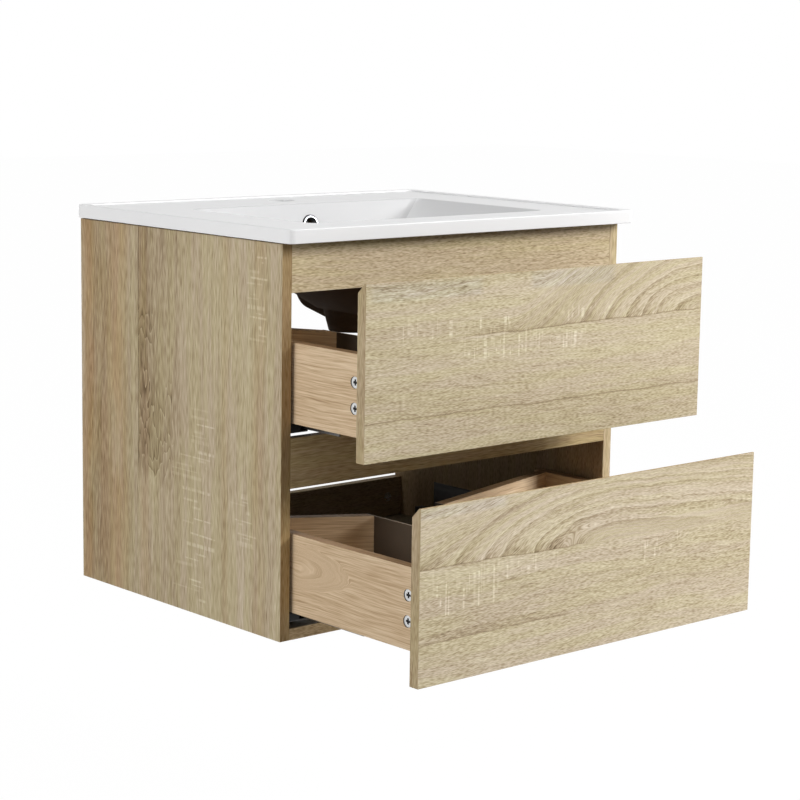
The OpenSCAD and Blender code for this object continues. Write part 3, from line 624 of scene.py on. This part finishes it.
def chipboard(name, tone):
    """Raw particle board, seen on cut edges that carry no band."""
    s = Shader(name)
    chips = s.cells(420.0)
    fine = s.cloud(840.0, 3.0)
    colour = s.mix(chips, times(srgb(150, 120, 84), tone), times(srgb(196, 168, 126), tone))
    colour = s.mix(s.steps(fine, 0.3, 0.6, 0.4, 0.0), colour, times(srgb(96, 72, 46), tone))
    s.set("Base Color", colour)
    s.set("Roughness", s.steps(fine, 0.0, 1.0, 0.75, 0.95))
    s.bump(s.math("ADD", chips, fine), 0.0002, 0.6)
    return s.material


def glaze(name, low, high, rough=0.28, gloss=0.22):
    """White glaze between two greys (0 to 255), with a faint pull and a gloss."""
    s = Shader(name)
    cloud = s.cloud(9.0)
    s.set("Base Color", s.mix(cloud, srgb(low, low, low + 1), srgb(high, high, high)))
    s.set("Roughness", s.steps(cloud, 0.2, 0.8, rough - 0.006, rough + 0.006))
    s.set("Specular IOR Level", gloss)
    s.bump(cloud, 0.0001, 0.2)
    return s.material


def underside_in_shade():
    """The basin's hidden underside: matt, and dark and brownish with painted shade."""
    s = Shader("underside_painted_shade")
    cloud = s.cloud(40.0, 4.0)
    grit = s.cloud(900.0)
    colour = s.mix(cloud, srgb(84, 66, 51), srgb(106, 87, 71))
    s.set("Base Color", s.mix(s.steps(grit, 0.4, 0.7, 0.0, 0.3), colour, srgb(116, 102, 90)))
    s.set("Roughness", s.steps(cloud, 0.2, 0.8, 0.8, 0.92))
    s.set("Specular IOR Level", 0.12)
    s.bump(grit, 0.0002, 0.7)
    return s.material


def steel(name, colour, along, rough=0.34):
    """Zinc with drawn lines along the part, faint crystals, and broad dark patches of painted reflection."""
    s = Shader(name)
    waves = [900.0] * 3
    waves["XYZ".index(along)] = 30.0
    lines = s.grain(s.here, waves)
    broad = s.grain(s.here, [k / 14 for k in waves], 3.0, 3.0)
    base = s.mix(s.math("MULTIPLY", s.cells(160.0), 0.5), colour, times(colour, 1.25))
    # Broad dark patches: painted reflection
    base = s.mix(s.steps(broad, 0.36, 0.60, 0.6, 0.0), base, times(colour, 0.35))
    s.set("Base Color", s.mix(s.steps(lines, 0.35, 0.65, 0.35, 0.0), base, times(colour, 0.55)))
    s.set("Metallic", 0.9)
    s.set("Roughness", s.steps(lines, 0.2, 0.8, rough - 0.08, rough + 0.12))
    s.bump(lines, 0.00005, 0.5)
    return s.material


def cam_metal(name, low, high, face):
    """Bright die-cast metal for the cams between two box corners, with painted shade in the cross and below
    the face.

    face is how far the cams' open faces lie from the middle.
    """
    s = Shader(name)
    brushed = s.grain(s.here, (60.0, 700.0, 120.0))
    # Painted shade: near black below the cams' face and in their cross
    recess_shade = s.steps(s.math("ABSOLUTE", s.xyz[0]), face - 0.0011, face - 0.0007, 1.0, 0.0)
    mid, half = (low + high) / 2, (high - low) / 2
    dy = s.math("ABSOLUTE", s.axis("Y", mid.y))
    dz = s.math("ABSOLUTE", s.off(s.math("ABSOLUTE", s.axis("Z", mid.z)), half.z - half.y))
    wide, long, soft = 0.0013, 0.0037, 0.0003
    arms = [s.product(s.line(a, wide, soft), s.line(b, long, soft)) for a, b in ((dy, dz), (dz, dy))]
    recess_shade = s.math("MAXIMUM", recess_shade, s.math("MAXIMUM", *arms))
    bright = s.mix(brushed, srgb(196, 198, 199), srgb(232, 233, 232))
    s.set("Base Color", s.mix(recess_shade, bright, srgb(26, 25, 24)))
    s.set("Metallic", 0.55)
    s.set("Roughness", s.steps(brushed, 0.2, 0.8, 0.26, 0.42))
    s.bump(brushed, 0.00006, 0.5)
    return s.material


def plastic(name, colour, rough=0.5, per_metre=1400.0):
    """Moulded plastic with a fine spark texture."""
    s = Shader(name)
    spark = s.cloud(per_metre)
    s.set("Base Color", s.mix(s.cloud(30.0), times(colour, 0.88), times(colour, 1.12)))
    s.set("Roughness", s.steps(spark, 0.2, 0.8, rough - 0.06, rough + 0.1))
    s.set("Specular IOR Level", 0.25)
    s.bump(spark, 0.00004, 0.5)
    return s.material


def chrome(low, high):
    """Chrome ring between two box corners, painted by radius: a dark outer line of painted shadow, a pale
    band of painted highlight and a dark throat of painted shade.
    """
    s = Shader("chrome")
    smear = s.cloud(220.0, 3.0)
    mid, half = (low + high) / 2, (high - low) / 2
    r = s.length(s.axis("X", mid.x, 1 / half.x), s.axis("Z", mid.z, 1 / half.z))
    # Painted light by radius: painted shadow at the outer line, a painted highlight in the pale band, painted
    # shade in the throat
    grey, painted_highlight, dark = srgb(92, 93, 95), srgb(150, 152, 154), srgb(26, 26, 28)
    stops = ((0.52, dark), (0.64, grey), (0.71, painted_highlight), (0.80, painted_highlight), (0.86, dark), (1.0, dark))
    s.set("Base Color", s.mix(s.steps(smear, 0.4, 0.7, 0.3, 0.0), s.ramp(r, stops), grey))
    s.set("Metallic", 1.0)
    s.set("Roughness", s.steps(smear, 0.3, 0.8, 0.08, 0.18))
    return s.material


# The prints' marks, in metres along and across the grain
UPPER_MARKS = Marks(
    seams=(
        (-0.0690, 0.0137, -0.12, 0.32, 0.20, 0.08, 0.020),
        (-0.1640, 0.0, -0.31, 0.31, 0.20, 0.06, 0.022),
    ),
    arches=(0.297, 2.5, 0.6, 1.0, (0.0217, 0.0367, 0.0484, 0.0611, 0.0786, 0.1006)),
    saws=(
        ((-0.080, -0.088), (0.062, 0.016), 0.0070, 0.28),
        ((0.030, -0.085), (0.048, 0.013), 0.0065, 0.24),
        ((-0.150, -0.060), (0.092, 0.012), 0.0110, 0.26),
        ((-0.068, -0.048), (0.008, 0.022), 0.0080, 0.36),
        ((0.080, -0.052), (0.050, 0.010), 0.0080, 0.22),
    ),
    greys=(((-0.200, -0.010), (0.090, 0.010)), ((0.050, -0.008), (0.075, 0.010))),
)
LOWER_MARKS = Marks(
    seams=(
        (-0.3275, -0.0200, -0.32, -0.03, 0.18, 0.09, 0.016),
        (-0.4125, 0.0, -0.31, -0.04, 0.15, 0.09, 0.018),
    ),
    arches=(0.030, 3.2, 0.3, -0.02, (0.0220, 0.0370, 0.0460, 0.0640, 0.0730, 0.0900)),
    saws=(
        ((-0.225, -0.352), (0.060, 0.024), 0.0080, 0.26),
        ((0.120, -0.345), (0.040, 0.020), 0.0075, 0.22),
        ((-0.120, -0.340), (0.050, 0.012), 0.0070, 0.20),
    ),
    greys=(((-0.230, -0.256), (0.070, 0.006)),),
)
PANEL_MARKS = Marks(
    seams=((-0.1365, 0.0, -0.29, 0.05, 0.32, -0.16, 0.105),),
    saws=(
        ((-0.225, -0.285), (0.038, 0.020), 0.0095, 0.27),
        ((-0.352, -0.263), (0.100, 0.034), 0.0115, 0.26),
        ((-0.030, -0.397), (0.056, 0.018), 0.0085, 0.28),
        ((-0.319, -0.368), (0.036, 0.020), 0.0080, 0.22),
    ),
    flames=(((-0.235, -0.177), (0.070, 0.038)), ((-0.130, -0.154), (0.060, 0.017))),
    reds=(
        (-0.094, 0.017, 0.45),
        (-0.150, 0.010, 0.45),
        (-0.014, 0.012, 0.8),
        (-0.055, 0.045, 0.75),
        (-0.400, 0.012, 0.4),
        (-0.330, 0.006, 0.3),
    ),
    bands=(
        (-0.050, 0.020, -0.115),
        (-0.018, 0.012, -0.035),
        (-0.205, 0.026, -0.08),
        (-0.290, 0.026, 0.075),
        (-0.342, 0.020, 0.03),
        (-0.374, 0.012, 0.04),
    ),
)

OAK_UPPER = oak("oak_upper_front", "XZY", 1, (0.96, 0.98, 1.0), UPPER_MARKS)
OAK_LOWER = oak("oak_lower_front", "XZY", 2, (1.0, 1.02, 1.07), LOWER_MARKS)
OAK_APRON = oak("oak_apron", "XZY", 3, (1.00, 0.975, 0.925))
# The mid rail's oak, darker and browner than the fronts: painted shade under the upper drawer
OAK_RAIL_SHADED = oak("oak_rail_shaded", "XZY", 4, (0.83, 0.75, 0.61), drawn=2.5)
# The outer side faces, darker than the fronts' oak: partly painted shade
OAK_PANEL = oak("oak_panel", "ZYX", 5, (0.865, 0.857, 0.845), PANEL_MARKS, 2.4)
# Darker copies of the oak for the carcass's inside faces, its backs and its floor: painted shade of the dim
# interior
OAK_INSIDE_SHADED = oak("oak_inside_shaded", "ZYX", 6, (0.60, 0.51, 0.42))
OAK_BACK_SHADED = oak("oak_back_shaded", "XZY", 7, (0.56, 0.50, 0.48))
OAK_FLOOR_SHADED = oak("oak_floor_shaded", "XYZ", 8, 0.40)
BAND_UP = oak("oak_band_upright", "ZXY", 9, (0.75, 0.70, 0.63), drawn=2.0)
# The panels' front edge bands, one band in two tones: the left darker and browner as painted shade, the right
# paler as painted light
BAND_LEFT_SHADED = oak("oak_band_left_shaded", "ZXY", 11, (0.60, 0.49, 0.35), drawn=2.0)
BAND_RIGHT_LIT = oak("oak_band_right_lit", "ZXY", 12, (0.94, 0.89, 0.82), drawn=2.0)
BAND_ACROSS = oak("oak_band_across", "XYZ", 10, (0.86, 0.76, 0.63))
FILM_SIDE = film("film_side", "YZX", 1, 1.0)
FILM_SIDE_LOW = film("film_side_low", "YZX", 2, 0.97, ((-0.450, -0.366), 0.030))
# The drawers' back boards, brighter than the film's own colour: painted light
FILM_BACK_LIT = film("film_back_lit", "XZ", 3, 1.18)
FILM_FLOOR = film("film_floor", "XYZ", 4, 0.80)
# The drawer boards' top and bottom edges, darker and browner: painted shade
FILM_TOP_SHADED = film("film_top_shaded", "YXZ", 5, (0.54, 0.45, 0.36))
CHIP = chipboard("chipboard", 0.9)
# Near-black chipboard for the bores round the cams: painted shade
BORE_SHADE = chipboard("chipboard_bore_shaded", 0.12)
GLAZE = glaze("white_glaze", 240, 245)
# Darker copies of the white glaze for the bowl and for its back wall: painted shade
GLAZE_BOWL_SHADED = glaze("white_glaze_bowl_shaded", 228, 233)
GLAZE_BACK_SHADED = glaze("white_glaze_back_shaded", 211, 216, 0.36, 0.08)
UNDERSIDE_SHADE = underside_in_shade()
ZINC = steel("zinc_runner", srgb(124, 123, 121), "Y")
# A darker copy of the runners' zinc for the members fixed inside the carcass: painted shade
ZINC_FIXED_SHADED = steel("zinc_fixed_runner", srgb(72, 70, 68), "Y", 0.4)
ZINC_DARK = steel("zinc_hanger", srgb(140, 141, 142), "Z", 0.42)
DIE_CAST = steel("die_cast_zinc", srgb(200, 201, 202), "X", 0.28)
SCREW_ZINC = steel("screw_zinc", srgb(186, 186, 184), "X", 0.3)
CHROME = chrome(*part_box("overflow_ring"))
# A dark strip in the joint under the slab: painted shade
JOINT_SHADE = plastic("joint_shade_dark", srgb(30, 26, 22), 0.8, 700.0)
BLACK = plastic("black_plastic", srgb(20, 19, 19), 0.45)
CLIP = plastic("clip_plastic", srgb(84, 86, 90), 0.5)
GUARD = plastic("guard_sheet", srgb(78, 67, 56), 0.5, 900.0)
# Paler edges of the guard sheet: painted light
GUARD_EDGE_LIT = plastic("guard_edge_lit", srgb(150, 134, 116), 0.6, 900.0)


# ---------------------------------------------------------------- pieces


def clean_copy(node, flat=0.4, top=math.inf):
    """A node's mesh, lowered to top where it is higher, with faces joined that lie within flat degrees."""
    bm = bmesh.new()
    bm.from_mesh(NODES[node].data)
    for v in bm.verts:
        v.co.z = min(v.co.z, top)
    bmesh.ops.remove_doubles(bm, verts=bm.verts, dist=1e-6)
    bmesh.ops.dissolve_limit(bm, angle_limit=math.radians(flat), verts=bm.verts, edges=bm.edges)
    return bm


def sharp_edges(bm, least=SHARP):
    """The edges at which two faces meet at more than so many degrees."""
    angle = math.radians(least)
    return [e for e in bm.edges if len(e.link_faces) == 2 and e.calc_face_angle(0.0) > angle]


def soften(bm, edges, width, segments, profile, clamp=False):
    """Rounds edges; clamp keeps two roundings from meeting."""
    bmesh.ops.bevel(
        bm,
        geom=edges,
        offset=width,
        offset_type="OFFSET",
        segments=segments,
        profile=profile,
        affect="EDGES",
        clamp_overlap=clamp,
    )


def new_piece(name, bm, materials):
    mesh = bpy.data.meshes.new(name)
    bm.to_mesh(mesh)
    bm.free()
    for m in materials:
        mesh.materials.append(m)
    piece = bpy.data.objects.new(name, mesh)
    bpy.context.scene.collection.objects.link(piece)
    return piece


def ease(node, finishes, width=BOARD_EASE, shortest=BOARD_SHORTEST, lower=0.0):
    """Replaces a board by the same board with eased edges.

    finishes = [(material, test), ...]: the first whose test of a face's (normal, centre) holds is used.
    lower takes that much off the board's top.
    """
    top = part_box(node)[1].z
    bm = clean_copy(node, top=top - lower)
    bm.normal_update()
    edges = [e for e in sharp_edges(bm) if e.calc_length() > shortest]
    soften(bm, edges, width, 2, 0.6, clamp=True)
    bm.normal_update()
    for face in bm.faces:
        centre = face.calc_center_median()
        for i, (_, test) in enumerate(finishes):
            if test(face.normal, centre):
                face.material_index = i
                break
    piece = new_piece(node + "_eased", bm, [m for m, _ in finishes])
    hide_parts(node)
    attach(piece, NODES[node]["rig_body"])


def facing(axis, sign=0, least=0.7):
    """A test for faces that look along a row axis; sign 0 takes both ways."""
    k = "XYZ".index(axis)
    return lambda n, c: (n[k] * sign if sign else abs(n[k])) > least


def anywhere(n, c):
    return True


def finish(node, material):
    """Gives a carried-over CAD node its material."""
    data = NODES[node].data
    data.materials.clear()
    data.materials.append(material)


def carcass():
    """Eases and finishes the boards that hang on the wall."""
    for side, out, band in (("left", -1, BAND_LEFT_SHADED), ("right", 1, BAND_RIGHT_LIT)):
        ease(
            "side_panel_" + side,
            [
                (band, facing("Y", -1)),
                (OAK_PANEL, facing("X", out)),
                (OAK_INSIDE_SHADED, facing("X", -out)),
                (CHIP, facing("Z")),
                (BAND_UP, anywhere),
            ],
            lower=JOINT_SHADE_GAP,
        )
    ease("bottom_panel", [(BAND_ACROSS, facing("Y", -1)), (OAK_FLOOR_SHADED, anywhere)])
    ease(
        "front_apron",
        [(OAK_APRON, facing("Y", -1)), (BAND_ACROSS, facing("Z", -1)), (OAK_BACK_SHADED, anywhere)],
        lower=JOINT_SHADE_GAP,
    )
    ease("mid_rail", [(OAK_RAIL_SHADED, facing("Y", -1)), (BAND_ACROSS, facing("Z")), (OAK_BACK_SHADED, anywhere)])
    ease("rear_top_rail", [(OAK_BACK_SHADED, facing("Y")), (CHIP, anywhere)])
    ease("rear_bottom_rail", [(OAK_BACK_SHADED, facing("Y")), (BAND_ACROSS, anywhere)])


def drawer(which, front, side):
    """Finishes one drawer's boards, guard and cam locks."""
    low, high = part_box(which + "_cams")

    def in_bore(n, c):
        near = all(a - BORE_REACH < v < b + BORE_REACH for a, v, b in zip(low.yz, c.yz, high.yz))
        return near and abs(n.x) < 0.5

    ease(
        which + "_front",
        [
            (front, facing("Y")),
            (BAND_UP, facing("X")),
            (BAND_ACROSS, facing("Z", least=0.5)),
            (front, anywhere),
        ],
    )
    for hand in ("left", "right"):
        ease(f"{which}_side_{hand}", [(BORE_SHADE, in_bore), (FILM_TOP_SHADED, facing("Z")), (side, anywhere)])
        ease(f"{which}_back_{hand}", [(FILM_TOP_SHADED, facing("Z")), (FILM_BACK_LIT, anywhere)])
    ease(which + "_bottom", [(FILM_FLOOR, facing("Z")), (CHIP, anywhere)])
    ease(which + "_guard", [(GUARD_EDGE_LIT, facing("Z")), (GUARD, anywhere)], GUARD_EASE, GUARD_SHORTEST)

    # The cams lie a little below the board's face, so their bores show; these are painted near black as shade
    bm = clean_copy(which + "_cams")
    face = high.x
    rim = [e for e in sharp_edges(bm, CAM_SHARP) if all(abs(v.co.x) > face - NEAR for v in e.verts)]
    soften(bm, rim, CAM_EASE, 2, 0.5)
    for v in bm.verts:
        if abs(v.co.x) > face - CAM_LID:
            v.co.x -= math.copysign(CAM_RECESS, v.co.x)
    metal = cam_metal(which + "_cam_metal", low, high, face - CAM_RECESS)
    piece = new_piece(which + "_cams_set_in", bm, [metal])
    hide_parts(which + "_cams")
    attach(piece, which + "_drawer")


def basin():
    """The basin as one glazed casting with softened edges and smooth shading."""
    low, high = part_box("ceramic_basin")
    top, under = high.z, high.z - SLAB
    deck = top - DECK_DROP
    bm = clean_copy("ceramic_basin", 0.3)

    def level(e, z):
        return all(abs(v.co.z - z) < NEAR for v in e.verts)

    def outline(z):
        """The sharp edges of the slab's outline at a height."""

        def on_outline(p):
            return min(p.x - low.x, high.x - p.x, p.y - low.y, high.y - p.y) < OUTLINE

        return [e for e in sharp_edges(bm) if level(e, z) and all(on_outline(v.co) for v in e.verts)]

    def openings():
        """The sharp edges round the bowl and the tap hole."""

        def inside(p):
            return abs(p.x) < OPENINGS_HALF and p.y > low.y + OPENINGS_FRONT

        return [e for e in sharp_edges(bm) if level(e, deck) and all(inside(v.co) for v in e.verts)]

    others = openings() + outline(top)
    step = [e for e in sharp_edges(bm) if (level(e, top) or level(e, deck)) and e not in others]
    profile = 0.55
    soften(bm, step, STEP_EASE, 2, profile)
    soften(bm, openings(), OPENING_EASE, 3, profile)
    soften(bm, outline(top), TOP_EASE, 3, profile)
    soften(bm, outline(under), UNDER_EASE, 2, profile)

    bm.normal_update()
    finishes = [GLAZE, UNDERSIDE_SHADE, GLAZE_BOWL_SHADED, GLAZE_BACK_SHADED]
    unseen, bowl, bowl_back = 1, 2, 3
    for face in bm.faces:
        face.smooth = True
        at = face.calc_center_median()
        inner = low.x + LAP < at.x < high.x - LAP and low.y + LAP < at.y
        # The hidden underside inside the glazed border takes the dark painted shade
        if at.z < under + UNDER_SLACK and face.normal.z < LOOKS_UP and inner:
            face.material_index = unseen
        # The bowl's faces take the darker glazes, painted shade, darkest on the back wall
        elif at.z < deck - DECK_SLACK and inner:
            face.material_index = bowl_back if face.normal.y < -abs(face.normal.x) else bowl
    piece = new_piece("basin_glazed", bm, finishes)
    even = piece.modifiers.new("even", "WEIGHTED_NORMAL")
    even.keep_sharp = False
    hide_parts("ceramic_basin")
    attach(piece, "carcass")


def basin_joint_shade():
    """A dark strip, set back under the slab in the joint: painted shade that shows as a thin line."""
    bm = bmesh.new()
    for node in ("side_panel_left", "side_panel_right", "front_apron"):
        low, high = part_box(node)
        size = (high.x - low.x - 2 * JOINT_SHADE_BACK, high.y - low.y - 2 * JOINT_SHADE_BACK, JOINT_SHADE_GAP, 1.0)
        at = ((low.x + high.x) / 2, (low.y + high.y) / 2, high.z - JOINT_SHADE_GAP / 2)
        cube = bmesh.ops.create_cube(bm, size=1.0, matrix=Matrix.Translation(at) @ Matrix.Diagonal(size))
        edges = {e for v in cube["verts"] for e in v.link_edges}
        bmesh.ops.bevel(bm, geom=list(edges), offset=JOINT_SHADE_EASE, segments=1, affect="EDGES")
    piece = new_piece("basin_joint_shade", bm, [JOINT_SHADE])
    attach(piece, "carcass")


def hardware():
    """Finishes the metal and plastic nodes that are shown as they are in the CAD."""
    for node in NODES:
        if "_runner_" in node:
            finish(node, ZINC_FIXED_SHADED)
        elif "_slide_" in node or "_middle_" in node:
            finish(node, ZINC)
        elif node in ("hanger_left", "hanger_right"):
            finish(node, ZINC_DARK)
        elif node == "carcass_cams":
            finish(node, DIE_CAST)
        elif node.endswith(("_screws", "_bolts")):
            finish(node, SCREW_ZINC)
        elif node.endswith("_clips"):
            finish(node, CLIP)
    finish("runner_end_blocks", BLACK)
    finish("overflow_ring", CHROME)


# ---------------------------------------------------------------- camera, light and floor


def camera():
    """The photo's camera, as solved."""
    yaw, pitch, roll = (math.radians(v) for v in (CAMERA_YAW, CAMERA_PITCH, CAMERA_ROLL))
    look = Vector((-math.sin(yaw) * math.cos(pitch), math.cos(yaw) * math.cos(pitch), math.sin(pitch)))
    right = Vector((math.cos(yaw), math.sin(yaw), 0))
    up = right.cross(look)
    r = math.cos(roll) * right + math.sin(roll) * up
    u = -math.sin(roll) * right + math.cos(roll) * up
    data = bpy.data.cameras.new("camera")
    data.lens = LENS
    data.sensor_width = SENSOR
    data.clip_end = CLIP_END
    cam = bpy.data.objects.new("camera", data)
    rotation = Matrix((r, u, -look)).transposed().to_4x4()
    cam.matrix_world = Matrix.Translation(CAMERA_AT) @ rotation
    bpy.context.scene.collection.objects.link(cam)
    bpy.context.scene.camera = cam


def lamp(name, at, to, size, power):
    """A square lamp that looks from one point to another."""
    data = bpy.data.lights.new(name, "AREA")
    data.shape = "SQUARE"
    data.size = size
    data.energy = power
    light = bpy.data.objects.new(name, data)
    light.location = at
    light.rotation_euler = (Vector(to) - Vector(at)).to_track_quat("-Z", "Y").to_euler()
    bpy.context.scene.collection.objects.link(light)


def studio():
    """Soft light that comes mostly from the front and above, before a white background."""
    world = bpy.data.worlds.new("studio")
    bpy.context.scene.world = world
    sky = Tree(world)
    coord = sky.add("ShaderNodeTexCoord").outputs["Generated"]
    towards = Vector(SKY_TOWARDS).normalized()
    dot = sky.add("ShaderNodeVectorMath", coord, towards, operation="DOT_PRODUCT")
    fade = sky.add("ShaderNodeMapRange", dot.outputs["Value"], SKY_FROM, SKY_TO, SKY_LOW, SKY_HIGH)
    soft = sky.add("ShaderNodeBackground", None, fade.outputs[0])
    white = sky.add("ShaderNodeBackground", (1, 1, 1, 1))
    mix = sky.add("ShaderNodeMixShader", sky.seen(), soft.outputs[0], white.outputs[0])
    sky.add("ShaderNodeOutputWorld", mix.outputs[0])
    for each in LAMPS:
        lamp(*each)


def floor():
    """A matt floor that is white where it is seen and still takes part in the light."""
    bm = bmesh.new()
    bmesh.ops.create_grid(bm, x_segments=1, y_segments=1, size=FLOOR_HALF)
    bmesh.ops.translate(bm, verts=bm.verts, vec=(0, 0, CAD_BOX[0][2] - FLOOR_BELOW))
    mat = bpy.data.materials.new("floor_white")
    tree = Tree(mat)
    matt = tree.add("ShaderNodeBsdfDiffuse", FLOOR_COLOUR)
    glow = tree.add("ShaderNodeEmission", None, FLOOR_GLOW)
    share = tree.math("MULTIPLY", tree.seen(), FLOOR_GLOW_SHARE)
    mix = tree.add("ShaderNodeMixShader", share, matt.outputs[0], glow.outputs[0])
    tree.add("ShaderNodeOutputMaterial", mix.outputs[0])
    new_piece("floor", bm, [mat])


camera()
studio()
floor()
carcass()
drawer("upper", OAK_UPPER, FILM_SIDE)
drawer("lower", OAK_LOWER, FILM_SIDE_LOW)
basin()
basin_joint_shade()
hardware()
bpy.context.scene.view_settings.view_transform = "Standard"
